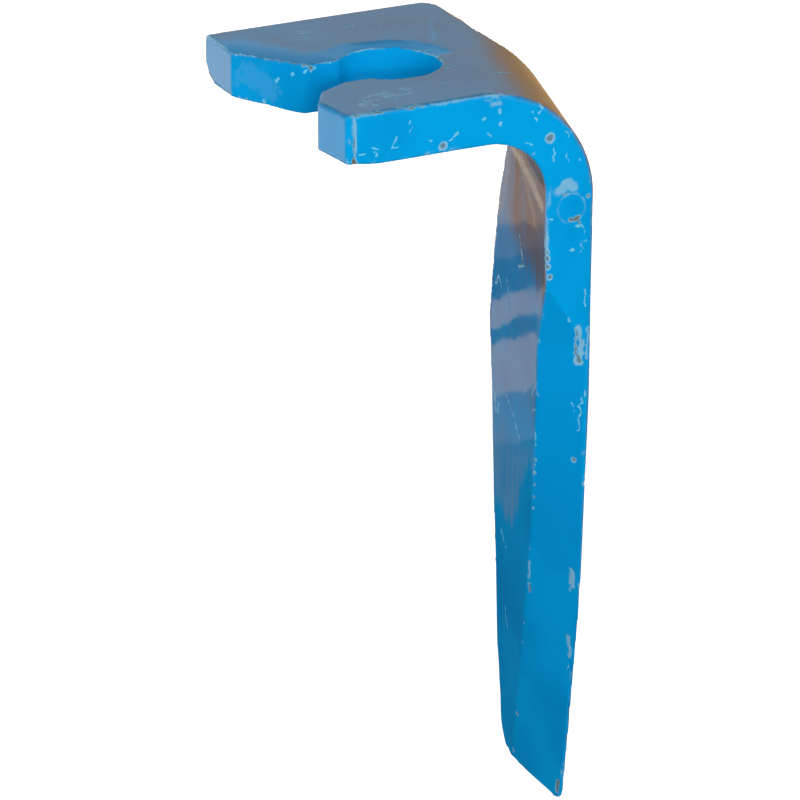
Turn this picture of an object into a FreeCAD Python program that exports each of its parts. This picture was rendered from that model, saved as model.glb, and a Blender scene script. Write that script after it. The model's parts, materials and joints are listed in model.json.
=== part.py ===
import FreeCAD, Part
import math
import os
import Sketcher

# Power harrow tine, forged in one piece from flat bar: a flat head with a keyhole that slides onto
# the pin of its holder, an oblique bend, and a broad blade with a long bevelled leading edge.
# Frame: millimetres, +Z up along the pin. The origin is on the pin's axis at the head's top face,
# +X points from the pin to the bend, and the blade hangs down towards -Z.

doc = FreeCAD.newDocument("power_harrow_tine")


# Driving sizes, millimetres and degrees
SIZES = {
    # keyhole
    "bore_radius": 19.0,
    "slot_half_width": 12.5,
    "mouth_far_width": 39.0,
    "mouth_far_depth": 18.5,
    "mouth_near_width": 36.0,
    "mouth_knee_width": 19.0,
    "mouth_knee_depth": 10.0,
    "mouth_near_depth": 23.0,
    "mouth_round": 5.0,
    # head
    "head_thickness": 20.0,
    "near_side": 49.0,
    "far_side": 62.5,
    "end_reach": 47.5,
    "near_end_skew": 6.0,
    "far_end_skew": 0.9,
    "shoulder_reach": 48.8,
    "shoulder_round": 26.0,
    "corner_round": 9.0,
    "relief_length": 19.0,
    "relief_rise": 2.2,
    # bend
    "edge_reach": 59.7,
    "turn": 12.0,
    "outer_radius_near": 46.5,
    "outer_radius_far": 31.0,
    "inner_radius_near": 23.0,
    "inner_radius_far": 12.0,
    "bend_far_station": 100.0,
    "bend_lead": 3.0,
    # blade
    "blade_thickness": 19.5,
    "blade_length": 303.8,
    "front_taper_start": 120.0,
    "front_taper": 4.6,
    "back_taper_start": 62.0,
    "back_taper": 5.5,
    "collar_width": 55.5,
    "neck_width": 48.0,
    "neck_drop": 38.0,
    "neck_round": 12.0,
    "shoulder_width": 75.0,
    "shoulder_drop": 119.0,
    "shoulder_sweep": 400.0,
    "heel_width": 70.0,
    "heel_drop": 301.5,
    "heel_round": 12.0,
    "edge_start": 165.0,
    "edge_start_width": -1.0,
    "edge_width": 9.0,
    "edge_drop": 284.0,
    "edge_sweep": 900.0,
    "toe_width": 11.8,
    "toe_round": 5.5,
    # bevel
    "edge_blunt": 1.2,
    "edge_low_width": 3.5,
    "bevel_clear_drop": 60.0,
    "bevel_runout_drop": 78.0,
    "bevel_start_drop": 106.0,
    "bevel_start_width": 8.0,
    "bevel_middle_drop": 150.0,
    "bevel_middle_width": 14.0,
    "bevel_low_drop": 225.0,
    "bevel_low_width": 29.5,
    "bevel_foot_width": 56.0,
    "bevel_overrun": 0.6,
    # worn edges
    "edge_round": 1.2,
}

sheet = doc.addObject("Spreadsheet::Sheet", "sizes")
for row, (alias, value) in enumerate(SIZES.items(), start=1):
    sheet.set(f"A{row}", alias)
    sheet.set(f"B{row}", str(value))
    sheet.setAlias(f"B{row}", alias)
doc.recompute()


class Size:
    """A length or angle that carries both its value and the expression that binds it to the sheet."""

    def __init__(self, value, text):
        self.value = value
        self.text = text

    @staticmethod
    def of(number):
        return number if isinstance(number, Size) else Size(float(number), str(number))

    def __add__(self, other):
        other = Size.of(other)
        return Size(self.value + other.value, f"({self.text} + {other.text})")

    def __sub__(self, other):
        other = Size.of(other)
        return Size(self.value - other.value, f"({self.text} - {other.text})")

    def __mul__(self, other):
        other = Size.of(other)
        return Size(self.value * other.value, f"({self.text} * {other.text})")

    def __truediv__(self, other):
        other = Size.of(other)
        return Size(self.value / other.value, f"({self.text} / {other.text})")

    def __neg__(self):
        return Size(-self.value, f"(0 - {self.text})")


def size(alias):
    return Size(float(sheet.get(alias)), f"sizes.{alias}")


def sine(angle):
    return Size(math.sin(math.radians(angle.value)), f"sin({angle.text} * 1 deg)")


def cosine(angle):
    return Size(math.cos(math.radians(angle.value)), f"cos({angle.text} * 1 deg)")


class Corner:
    """A corner of an outline: where it is, its rounding, and the arc that leads on to the next one.

    A positive arc turns left on its way to the next corner, and a negative one turns right.
    """

    def __init__(self, x, y, rounding=None, arc=None):
        self.x = Size.of(x)
        self.y = Size.of(y)
        self.rounding = rounding
        self.arc = arc

    @property
    def point(self):
        return FreeCAD.Vector(self.x.value, self.y.value, 0)


def arc_between(start, end, radius):
    """The short arc from start to end, and whether its own start is the outline's start."""
    chord = end - start
    rise = math.sqrt(max(radius ** 2 - (chord.Length / 2) ** 2, 0.0))
    left = FreeCAD.Vector(-chord.y, chord.x, 0).normalize()
    side = 1 if radius > 0 else -1
    centre = (start + end) * 0.5 + left * (rise * side)
    angles = [math.atan2(p.y - centre.y, p.x - centre.x) for p in (start, end)]
    if side < 0:
        angles.reverse()
    circle = Part.Circle(centre, FreeCAD.Vector(0, 0, 1), abs(radius))
    return Part.ArcOfCircle(circle, angles[0], angles[1]), side > 0


def bind(sketch, constraint, value):
    """Add a constraint and bind its value to the sheet."""
    number = sketch.addConstraint(constraint)
    sketch.setExpression(f"Constraints[{number}]", value.text)


def pin(sketch, geometry, end, corner):
    """Hold one end of a line, an arc or a point at a corner's place."""
    if corner.x.value == 0:
        sketch.addConstraint(Sketcher.Constraint("PointOnObject", geometry, end, -2))
    else:
        bind(sketch, Sketcher.Constraint("DistanceX", -1, 1, geometry, end, corner.x.value), corner.x)
    if corner.y.value == 0:
        sketch.addConstraint(Sketcher.Constraint("PointOnObject", geometry, end, -1))
    else:
        bind(sketch, Sketcher.Constraint("DistanceY", -1, 1, geometry, end, corner.y.value), corner.y)


def tangent_points(before, corner, after):
    """Where the rounding of a corner between two straight sides starts and ends."""
    back = (before.point - corner.point).normalize()
    ahead = (after.point - corner.point).normalize()
    reach = corner.rounding.value / math.tan(back.getAngle(ahead) / 2)
    return corner.point + back * reach, corner.point + ahead * reach


def draw_outline(sketch, corners):
    """Draw a closed outline of lines and arcs whose corners are held at their places."""
    count = len(corners)
    starts, ends, roundings = {}, {}, {}
    for i, corner in enumerate(corners):
        if corner.rounding is None:
            ends[i] = starts[i] = corner.point
        else:
            ends[i], starts[i] = tangent_points(corners[i - 1], corner, corners[(i + 1) % count])
    sides = []
    for i, corner in enumerate(corners):
        start, end = starts[i], ends[(i + 1) % count]
        if corner.arc is None:
            sides.append((sketch.addGeometry(Part.LineSegment(start, end)), 1, 2))
            continue
        arc, forward = arc_between(start, end, corner.arc.value)
        geometry = sketch.addGeometry(arc)
        sides.append((geometry, 1, 2) if forward else (geometry, 2, 1))
        radius = corner.arc if corner.arc.value > 0 else -corner.arc
        bind(sketch, Sketcher.Constraint("Radius", geometry, radius.value), radius)
    for i, corner in enumerate(corners):
        side_in, _, in_end = sides[i - 1]
        side_out, out_start, _ = sides[i]
        if corner.rounding is None:
            sketch.addConstraint(Sketcher.Constraint("Coincident", side_in, in_end, side_out, out_start))
            pin(sketch, side_out, out_start, corner)
            continue
        turn = (corner.point - corners[i - 1].point).cross(corners[(i + 1) % count].point - corner.point)
        radius = corner.rounding.value if turn.z > 0 else -corner.rounding.value
        arc, forward = arc_between(ends[i], starts[i], radius)
        rounding = sketch.addGeometry(arc)
        arc_in, arc_out = (1, 2) if forward else (2, 1)
        sketch.addConstraint(Sketcher.Constraint("Tangent", side_in, in_end, rounding, arc_in))
        sketch.addConstraint(Sketcher.Constraint("Tangent", rounding, arc_out, side_out, out_start))
        bind(sketch, Sketcher.Constraint("Radius", rounding, abs(radius)), corner.rounding)
        point = sketch.addGeometry(Part.Point(corner.point), True)
        pin(sketch, point, 1, corner)
        sketch.addConstraint(Sketcher.Constraint("PointOnObject", point, 1, side_in))
        sketch.addConstraint(Sketcher.Constraint("PointOnObject", point, 1, side_out))


tine = doc.addObject("PartDesign::Body", "tine")
tine.Label = "tine"


def origin_plane(role):
    return next(f for f in tine.Origin.OriginFeatures if f.Role == role)


def new_sketch(name, role):
    """A sketch on one of the body's own planes; a level one has the pin's axis at its origin."""
    sketch = tine.newObject("Sketcher::SketchObject", name)
    sketch.AttachmentSupport = [(origin_plane(role), "")]
    sketch.MapMode = "FlatFace"
    return sketch


def move_sketch(sketch, x, y, z, axis, angle):
    """Set a sketch off from its plane and turn it, bound to the sheet."""
    places = [Size.of(place) for place in (x, y, z)]
    base = FreeCAD.Vector(*(place.value for place in places))
    sketch.AttachmentOffset = FreeCAD.Placement(base, FreeCAD.Rotation(axis, angle.value))
    for letter, place in zip("xyz", places):
        sketch.setExpression(f"AttachmentOffset.Base.{letter}", place.text)
    sketch.setExpression("AttachmentOffset.Rotation.Angle", angle.text)


# Bend frame: its origin is the top outer corner of the near edge, "out" points away from the pin
# squarely to the blade, and "along" runs with the bend from the near edge to the far one.
TURN = size("turn")
UP = FreeCAD.Vector(0, 0, 1)
UPRIGHT = FreeCAD.Vector(0, 1, 0)
CORNER_X = size("edge_reach")
CORNER_Y = -size("near_side")


def across_bend(name, station):
    """A sketch square to the bend: x points out, y points up."""
    sketch = new_sketch(name, "XZ_Plane")
    x = CORNER_X + station * sine(TURN)
    y = CORNER_Y + station * cosine(TURN)
    move_sketch(sketch, x, 0, -y, UPRIGHT, -TURN)
    return sketch


def face_of_blade(name):
    """A sketch in the plane of the blade's front: x runs along the bend, y points up."""
    sketch = new_sketch(name, "YZ_Plane")
    move_sketch(sketch, CORNER_Y, 0, CORNER_X, UPRIGHT, -TURN)
    return sketch


def level_of_blade(name, drop):
    """A level sketch below the head: x points out, y runs along the bend."""
    sketch = new_sketch(name, "XY_Plane")
    move_sketch(sketch, CORNER_X, CORNER_Y, -drop, UP, -TURN)
    return sketch


# Room left round the piece by the sketches that cut it
SPARE = Size.of(30.0)


def outer_radius_at(station):
    slope = (size("outer_radius_far") - size("outer_radius_near")) / size("bend_far_station")
    return size("outer_radius_near") + slope * station


def inner_radius_at(station):
    slope = (size("inner_radius_far") - size("inner_radius_near")) / size("bend_far_station")
    return size("inner_radius_near") + slope * station


def head_out(station):
    """Where the flat head ends, a little before the bend starts."""
    return -(outer_radius_at(station) + size("bend_lead"))


def bar_section(name, station):
    """One cross-section of the bent bar: from the end of the head, round the bend, to the foot."""
    thickness = size("head_thickness")
    blade = size("blade_thickness")
    outer_radius = outer_radius_at(station)
    inner_radius = inner_radius_at(station)
    foot = size("blade_length") + SPARE
    front_run = (foot - size("front_taper_start")) / (size("blade_length") - size("front_taper_start"))
    back_run = (foot - size("back_taper_start")) / (size("blade_length") - size("back_taper_start"))
    sketch = across_bend(name, station)
    draw_outline(sketch, [
        Corner(head_out(station), 0),
        Corner(head_out(station), -thickness),
        Corner(-blade - inner_radius, -thickness, arc=-inner_radius),
        Corner(-blade, -thickness - inner_radius),
        Corner(-blade, -size("back_taper_start")),
        Corner(-blade + size("back_taper") * back_run, -foot),
        Corner(-size("front_taper") * front_run, -foot),
        Corner(0, -size("front_taper_start")),
        Corner(0, -outer_radius, arc=outer_radius),
        Corner(-outer_radius, 0),
    ])
    return sketch


# Bent bar: both radii shrink from the near edge to the far one, so the bend is a cone
near_station = -SPARE
far_station = size("bend_far_station") + SPARE
bar = tine.newObject("PartDesign::AdditiveLoft", "bent_bar")
bar.Profile = bar_section("near_section", near_station)
bar.Sections = [bar_section("far_section", far_station)]
bar.Ruled = True
doc.recompute()
print("bar", bar.State, round(tine.Shape.Volume), tine.Shape.isValid())

# Flat head, one slab that runs on into the bend
free_end = -(size("edge_reach") + size("end_reach") + SPARE * 2)
slab = level_of_blade("slab_plan", Size.of(0))
draw_outline(slab, [
    Corner(free_end, near_station),
    Corner(head_out(near_station), near_station),
    Corner(head_out(far_station), far_station),
    Corner(free_end, far_station),
])
head = tine.newObject("PartDesign::Pad", "head_slab")
head.Profile = slab
head.Reversed = True
head.setExpression("Length", size("head_thickness").text)
doc.recompute()
print("head", head.State, round(tine.Shape.Volume), tine.Shape.isValid())


def cut_through(name, sketch, length):
    """Cut a sketch out of the piece, half of the length to each side of its plane."""
    before = tine.Shape.Volume
    pocket = tine.newObject("PartDesign::Pocket", name)
    pocket.Profile = sketch
    pocket.Type = "Length"
    pocket.Midplane = True
    pocket.setExpression("Length", length.text)
    doc.recompute()
    print(name, pocket.State, round(before - tine.Shape.Volume), "mm3 cut")
    return pocket


# Whole height and reach, for cuts that go right through
THROUGH = (size("blade_length") + size("edge_reach")) * 3
REACH = size("blade_length")


# Sides and free end of the head, which carry on down as the near side of the blade
plan = new_sketch("head_plan", "XY_Plane")
draw_outline(plan, [
    Corner(-REACH, -REACH),
    Corner(REACH, -REACH),
    Corner(REACH, REACH),
    Corner(-REACH, REACH),
])
draw_outline(plan, [
    Corner(-size("end_reach"), 0),
    Corner(-size("end_reach") + size("near_end_skew"), -size("near_side")),
    Corner(REACH / 2, -size("near_side")),
    Corner(REACH / 2, size("far_side")),
    Corner(-size("end_reach") + size("far_end_skew"), size("far_side")),
])
cut_through("head_sides", plan, THROUGH)

# Lead-in: the underside rises a little towards the free end
free_x = -size("end_reach")
underside = -size("head_thickness")
relief = new_sketch("relief_profile", "XZ_Plane")
relief_slope = size("relief_rise") / size("relief_length")
draw_outline(relief, [
    Corner(free_x + size("relief_length"), underside),
    Corner(free_x - SPARE, underside + size("relief_rise") + SPARE * relief_slope),
    Corner(free_x - SPARE, underside - SPARE),
    Corner(free_x + size("relief_length"), underside - SPARE),
])
cut_through("relief_cut", relief, THROUGH)


# Blade outline: neck, widening shoulder, straight back, rounded heel and toe, swept leading edge
foot_level = -(size("blade_length") + SPARE * 2)
blade_outline = face_of_blade("blade_outline")
draw_outline(blade_outline, [
    Corner(REACH, underside),
    Corner(size("collar_width"), underside, rounding=size("neck_round")),
    Corner(size("neck_width"), -size("neck_drop"), arc=-size("shoulder_sweep")),
    Corner(size("shoulder_width"), -size("shoulder_drop")),
    Corner(size("heel_width"), -size("heel_drop"), rounding=size("heel_round")),
    Corner(size("toe_width"), -size("blade_length"), rounding=size("toe_round")),
    Corner(size("edge_width"), -size("edge_drop"), arc=-size("edge_sweep")),
    Corner(size("edge_start_width"), -size("edge_start")),
    Corner(-SPARE, -size("edge_start")),
    Corner(-SPARE, foot_level),
    Corner(REACH, foot_level),
])
cut_through("blade_cut", blade_outline, THROUGH)

# How far apart two places may be and still count as one
TOUCH = 0.01


def round_edges(name, radius, chosen):
    """Round the edges that the test picks."""
    edges = [f"Edge{i}" for i, edge in enumerate(tine.Shape.Edges, start=1) if chosen(edge)]
    before = tine.Shape.Volume
    base = tine.Tip
    fillet = tine.newObject("PartDesign::Fillet", name)
    fillet.Base = (base, edges)
    fillet.setExpression("Radius", radius.text)
    doc.recompute()
    print(name, fillet.State, len(edges), "edges", round(before - tine.Shape.Volume), "mm3 cut")


def bounds_side(edge):
    """Whether an edge lies in the near side, the far side or the free end, above the foot."""
    points = [vertex.Point for vertex in edge.Vertexes]
    near = all(abs(p.y + size("near_side").value) < TOUCH for p in points)
    far = all(abs(p.y - size("far_side").value) < TOUCH for p in points)
    free = all(p.x < (free_x + size("near_end_skew")).value + TOUCH for p in points)
    foot = all(p.z < -size("blade_length").value for p in points)
    return (near or far or free) and not foot


# Worn rounding of the bar's long edges
round_edges("worn_edges", size("edge_round"), bounds_side)

# Shoulder: the head ends square beside the bend, and a round leads into the neck of the blade
neck_out = (size("shoulder_reach") - CORNER_X - size("collar_width") * sine(TURN)) / cosine(TURN)
neck_y = CORNER_Y + size("collar_width") * cosine(TURN) - neck_out * sine(TURN)
neck_run = SPARE * 2
shoulder = new_sketch("shoulder_plan", "XY_Plane")
draw_outline(shoulder, [
    Corner(0, size("far_side")),
    Corner(size("shoulder_reach"), size("far_side"), rounding=size("corner_round")),
    Corner(size("shoulder_reach"), neck_y, rounding=size("shoulder_round")),
    Corner(size("shoulder_reach") + neck_run * cosine(TURN), neck_y - neck_run * sine(TURN)),
    Corner(size("shoulder_reach") + neck_run * cosine(TURN), REACH),
    Corner(0, REACH),
])
cut_through("shoulder_cut", shoulder, size("neck_drop") * 2)

# Keyhole: the pin's bore, open to the free end through a slot with a wide mouth
bore = new_sketch("bore_plan", "XY_Plane")
bore_circle = bore.addGeometry(Part.Circle(FreeCAD.Vector(), UP, size("bore_radius").value))
bore.addConstraint(Sketcher.Constraint("Coincident", bore_circle, 3, -1, 1))
bind(bore, Sketcher.Constraint("Radius", bore_circle, size("bore_radius").value), size("bore_radius"))
cut_through("bore_cut", bore, size("head_thickness") * 3)

slot = new_sketch("slot_plan", "XY_Plane")
half = size("slot_half_width")
far_slope = (size("mouth_far_width") - half) / size("mouth_far_depth")
near_slope = (size("mouth_near_width") - size("mouth_knee_width")) / size("mouth_knee_depth")
draw_outline(slot, [
    Corner(0, half),
    Corner(free_x + size("mouth_far_depth"), half, rounding=size("mouth_round")),
    Corner(free_x - SPARE, size("mouth_far_width") + SPARE * far_slope),
    Corner(free_x - SPARE, -size("mouth_near_width") - SPARE * near_slope),
    Corner(free_x + size("mouth_knee_depth"), -size("mouth_knee_width"), rounding=size("mouth_round")),
    Corner(free_x + size("mouth_near_depth"), -half, rounding=size("mouth_round")),
    Corner(0, -half),
])
cut_through("slot_cut", slot, size("head_thickness") * 3)


def front_out(drop):
    """How far the blade's front has come in at a level, by its taper."""
    run = size("blade_length") - size("front_taper_start")
    return -size("front_taper") * (drop - size("front_taper_start")) / run


def back_out(drop):
    """Where the blade's back is at a level."""
    run = size("blade_length") - size("back_taper_start")
    return -size("blade_thickness") + size("back_taper") * (drop - size("back_taper_start")) / run


def bevel_section(name, drop, edge_out, edge_along, root_out, root_along):
    """One level of the wedge that the bevel takes off, from the leading edge to the bevel's root."""
    overrun = size("bevel_overrun")
    sketch = level_of_blade(name, drop)
    draw_outline(sketch, [
        Corner(edge_out + (edge_out - root_out) * overrun, edge_along + (edge_along - root_along) * overrun),
        Corner(root_out + (root_out - edge_out) * overrun, root_along + (root_along - edge_along) * overrun),
        Corner(-SPARE * 3, -SPARE * 3),
    ])
    return sketch


def bevel_cut(name, sections, ruled):
    """Take the bevel off between its levels."""
    before = tine.Shape.Volume
    loft = tine.newObject("PartDesign::SubtractiveLoft", name)
    loft.Profile = sections[0]
    loft.Sections = sections[1:]
    loft.Ruled = ruled
    doc.recompute()
    print(name, loft.State, round(before - tine.Shape.Volume), "mm3 cut")


# Bevel of the leading edge: straight where it runs out through the near side below the bend, then
# wider and flatter towards the toe, so its face is slightly twisted
start_drop = size("bevel_start_drop")
start_out = -size("edge_blunt")
start_root = back_out(start_drop)
runout_shift = size("bevel_start_width") + size("blade_thickness") * sine(TURN) / cosine(TURN)
runout_slope = runout_shift / (start_drop - size("bevel_runout_drop"))
clear_shift = (start_drop - size("bevel_clear_drop")) * runout_slope
bevel_cut("bevel_runout", [
    bevel_section("bevel_clear", size("bevel_clear_drop"), start_out, -clear_shift,
                  start_root, size("bevel_start_width") - clear_shift),
    bevel_section("bevel_head", start_drop, start_out, Size.of(0), start_root, size("bevel_start_width")),
], True)

middle_drop = size("bevel_middle_drop")
low_drop = size("bevel_low_drop")
foot_drop = size("blade_length") + SPARE / 2
bevel_cut("leading_bevel", [
    bevel_section("bevel_start", start_drop, start_out, Size.of(0), start_root, size("bevel_start_width")),
    bevel_section("bevel_middle", middle_drop, front_out(middle_drop) - size("edge_blunt"),
                  size("edge_start_width"), back_out(middle_drop), size("bevel_middle_width")),
    bevel_section("bevel_low", low_drop, front_out(low_drop) - size("edge_blunt"),
                  size("edge_low_width"), back_out(low_drop), size("bevel_low_width")),
    bevel_section("bevel_foot", foot_drop, front_out(foot_drop) - size("edge_blunt"),
                  size("toe_width"), back_out(foot_drop), size("bevel_foot_width")),
], False)

failed = [o.Name for o in doc.Objects if "Invalid" in o.State or "Error" in o.State]
if failed or tine.Shape.isNull() or not tine.Shape.isValid():
    raise RuntimeError(f"not built: {failed}")
os.makedirs("parts", exist_ok=True)
tine.Shape.exportStep("parts/tine.step")
box = tine.Shape.optimalBoundingBox(False, False)
print("tine:", len(tine.Shape.Solids), "solid,", len(tine.Shape.Faces), "faces,", round(tine.Shape.Volume), "mm3")
print("box:", [round(side, 1) for side in (box.XLength, box.YLength, box.ZLength)], "mm")
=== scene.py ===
# %% [markdown]
# # A power harrow tine in worn blue paint
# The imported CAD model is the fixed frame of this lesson: one forged tine, hanging from the pin bore in
# its flat head. We keep its sizes and give it the surface of a real forging, with softened edges,
# slightly wavy faces and glossy paint that has been knocked off where other steel touched it.

# %% Load the frame
import json
import math

import bmesh
import bpy
import numpy as np
from mathutils import Matrix, Vector
from mathutils.bvhtree import BVHTree


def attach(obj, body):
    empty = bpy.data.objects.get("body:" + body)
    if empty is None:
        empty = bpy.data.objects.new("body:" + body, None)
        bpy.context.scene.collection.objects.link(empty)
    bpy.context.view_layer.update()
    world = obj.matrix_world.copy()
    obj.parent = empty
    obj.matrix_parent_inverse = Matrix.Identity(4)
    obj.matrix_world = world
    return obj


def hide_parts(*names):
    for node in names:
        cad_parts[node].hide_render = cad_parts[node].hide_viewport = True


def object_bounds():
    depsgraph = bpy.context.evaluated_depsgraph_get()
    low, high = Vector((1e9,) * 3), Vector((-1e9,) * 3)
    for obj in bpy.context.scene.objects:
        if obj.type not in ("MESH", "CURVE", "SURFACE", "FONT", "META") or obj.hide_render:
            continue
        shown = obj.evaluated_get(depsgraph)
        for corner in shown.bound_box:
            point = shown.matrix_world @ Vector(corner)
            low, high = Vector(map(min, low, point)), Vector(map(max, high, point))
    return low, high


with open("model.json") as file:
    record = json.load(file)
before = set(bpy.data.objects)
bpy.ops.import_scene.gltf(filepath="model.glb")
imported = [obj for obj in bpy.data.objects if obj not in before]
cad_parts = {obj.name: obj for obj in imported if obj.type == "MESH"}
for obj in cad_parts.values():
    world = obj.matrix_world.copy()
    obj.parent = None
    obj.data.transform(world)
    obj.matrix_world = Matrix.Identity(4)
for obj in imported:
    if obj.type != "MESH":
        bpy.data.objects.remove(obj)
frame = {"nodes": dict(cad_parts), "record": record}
cad_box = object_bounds()
cad_tine = frame["nodes"]["tine"]
MM = 0.001
print("CAD box", cad_box)

# %% [markdown]
# A CAD mesh is made of long thin triangles, which can't carry dents or a soft edge. One way would be to
# bevel it, but its loft faces break up. We copy it, merge the copy into one closed skin, and let a
# voxel remesh lay an even net of small faces over it. That net cuts the corners a little, so a
# shrinkwrap lays it back on the CAD model, which keeps the edges as tight as the forging's own.

# %% Even skin over the forging
SKIN_STEP = 1.2 * MM
EVEN_PASSES = 4


def even_skin(source, name, step, passes):
    """A closed, evenly meshed copy of the source, laid back on its surface after it was evened out."""
    mesh = source.data.copy()
    mesh.name = name
    piece = bpy.data.objects.new(name, mesh)
    bpy.context.scene.collection.objects.link(piece)
    merge = piece.modifiers.new("merge", "WELD")
    merge.merge_threshold = 1e-6
    net = piece.modifiers.new("net", "REMESH")
    net.mode = "VOXEL"
    net.voxel_size = step
    even = piece.modifiers.new("even", "SMOOTH")
    even.factor = 0.5
    even.iterations = passes
    wrap = piece.modifiers.new("wrap", "SHRINKWRAP")
    wrap.target = source
    evaluated = piece.evaluated_get(bpy.context.evaluated_depsgraph_get())
    finished = bpy.data.meshes.new_from_object(evaluated)
    piece.modifiers.clear()
    piece.data = finished
    return piece


forging = even_skin(cad_tine, "forged_tine", SKIN_STEP, EVEN_PASSES)
print("skin", len(forging.data.vertices), "points", len(forging.data.polygons), "faces")

# %% [markdown]
# Numbers that vary smoothly in space are the base of every worn surface. A value noise does this: a
# random number sits at each point of a cubic lattice, and between them the eight nearest are blended.
# The random numbers come from a hash of the lattice point, so each run gives the same surface.

# %% Smooth noise in space


def lattice_value(i, j, k, seed):
    """A fixed pseudo-random number from 0 to 1 for each lattice point: the fraction of a big sine."""
    wave = np.sin(i * 127.1 + j * 311.7 + k * 74.7 + seed * 53.3) * 43758.5453
    return wave - np.floor(wave)


def smooth_noise(points, size, seed):
    """Value noise from -1 to 1 with lumps of the given size: lattice values blended with 3t^2 - 2t^3."""
    cell = points / size
    base = np.floor(cell)
    t = cell - base
    t = t * t * (3.0 - 2.0 * t)
    total = np.zeros(len(points))
    for dx in (0, 1):
        for dy in (0, 1):
            for dz in (0, 1):
                weight = (
                    (t[:, 0] if dx else 1 - t[:, 0])
                    * (t[:, 1] if dy else 1 - t[:, 1])
                    * (t[:, 2] if dz else 1 - t[:, 2])
                )
                corner = base + (dx, dy, dz)
                total += weight * lattice_value(corner[:, 0], corner[:, 1], corner[:, 2], seed)
    return total * 2.0 - 1.0


def ramp(value, low, high):
    """0 below low and 1 above high, with a smooth 3t^2 - 2t^3 between them."""
    t = np.clip((value - low) / (high - low), 0.0, 1.0)
    return t * t * (3.0 - 2.0 * t)


print("ramp half way", ramp(0.5, 0.0, 1.0))

# %% [markdown]
# Two corners of the forging are rounder than its edges: the foot's far corner, ground down by the soil,
# and the lower corner of the far arm. Moving their points towards the mean of their neighbours, again
# and again, wears them down the same way.

# %% Worn corners
WEAR_SHARE = 0.6
WORN_CORNERS = [  # middle and reach in millimetres, and how many passes
    ((52.0, 36.0, -286.0), 30.0, 16),
    ((-46.9, 62.5, -19.0), 8.0, 16),
]


def points_and_normals(mesh):
    """The mesh's points and their unit normals as two arrays."""
    count = len(mesh.vertices)
    points = np.empty(count * 3)
    normals = np.empty(count * 3)
    mesh.vertices.foreach_get("co", points)
    mesh.vertex_normals.foreach_get("vector", normals)
    return points.reshape(-1, 3), normals.reshape(-1, 3)


def edge_ends(mesh):
    """The two point numbers of every edge."""
    ends = np.empty(len(mesh.edges) * 2, dtype=np.int64)
    mesh.edges.foreach_get("vertices", ends)
    return ends.reshape(-1, 2)


def neighbour_mean(edges, values):
    """The mean of each point's neighbours: both ends of every edge added up, over the count."""
    flat = values.reshape(len(values), -1)
    total = np.zeros_like(flat)
    number = np.zeros(len(flat))
    for a, b in ((0, 1), (1, 0)):
        for column in range(flat.shape[1]):
            total[:, column] += np.bincount(edges[:, a], flat[edges[:, b], column], len(flat))
        number += np.bincount(edges[:, a], minlength=len(flat))
    return (total / number[:, None]).reshape(values.shape)


def wear_corner(mesh, middle, reach, passes):
    """Move each point a share of the way to its neighbours' mean, the share fading out at the reach."""
    points, _ = points_and_normals(mesh)
    edges = edge_ends(mesh)
    away = np.linalg.norm(points / MM - middle, axis=1)
    share = WEAR_SHARE * (1.0 - ramp(away, 0.5 * reach, reach))[:, None]
    for _ in range(passes):
        points = points + (neighbour_mean(edges, points) - points) * share
    mesh.vertices.foreach_set("co", points.ravel())
    mesh.update()


for middle, reach, passes in WORN_CORNERS:
    wear_corner(forging.data, middle, reach, passes)
print("corners worn", len(WORN_CORNERS))

# %% [markdown]
# Paint wears first where an edge stands out. We find those places from the skin itself: a point on an
# outer edge lies further out, along its normal, than the middle of its neighbours. Spreading that
# number over the net a few times widens it into a band that the wear can follow.

# %% How far each point stands out
STAND_OUT_FULL = 0.10 * MM
SPREAD_TURNS = 1


def standing_out(mesh):
    """From 0 on flats and in hollows to 1 on outer edges, spread over the nearest neighbours."""
    points, normals = points_and_normals(mesh)
    edges = edge_ends(mesh)
    proud = ((points - neighbour_mean(edges, points)) * normals).sum(axis=1) / STAND_OUT_FULL
    proud = np.clip(proud, 0.0, 1.0)
    for _ in range(SPREAD_TURNS):
        proud = np.maximum(proud, neighbour_mean(edges, proud))
    return proud


def store(mesh, name, values):
    """Keep one number for each point of the mesh, where a material can read it."""
    layer = mesh.attributes.get(name) or mesh.attributes.new(name, "FLOAT", "POINT")
    layer.data.foreach_set("value", np.ascontiguousarray(values, dtype=np.float32))


def stored(mesh, name):
    """The numbers that were kept under this name."""
    values = np.empty(len(mesh.vertices), dtype=np.float32)
    mesh.attributes[name].data.foreach_get("value", values)
    return values.astype(float)


edge_band = standing_out(forging.data)
store(forging.data, "edge_band", edge_band)
print("points on an outer edge", int((edge_band > 0.5).sum()), "of", len(edge_band))

# %% [markdown]
# Each knock on the paint is placed one by one, in millimetres. A place is only roughly on the surface, so
# each is moved to the nearest point of the skin. Scratches and chips are small against the even net, so
# its faces near them are divided first, twice over, and then there are points enough to draw them.

# %% Strokes laid on the skin
STROKE_STEP = 0.35 * MM
SHAKE_SIZE = 1.6 * MM
SHAKE_SEEDS = (11, 12, 13)
skin_tree = BVHTree.FromObject(forging, bpy.context.evaluated_depsgraph_get())


def on_skin(place):
    """The nearest point of the skin to a place."""
    return np.array(skin_tree.find_nearest(Vector(place))[0])


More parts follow.
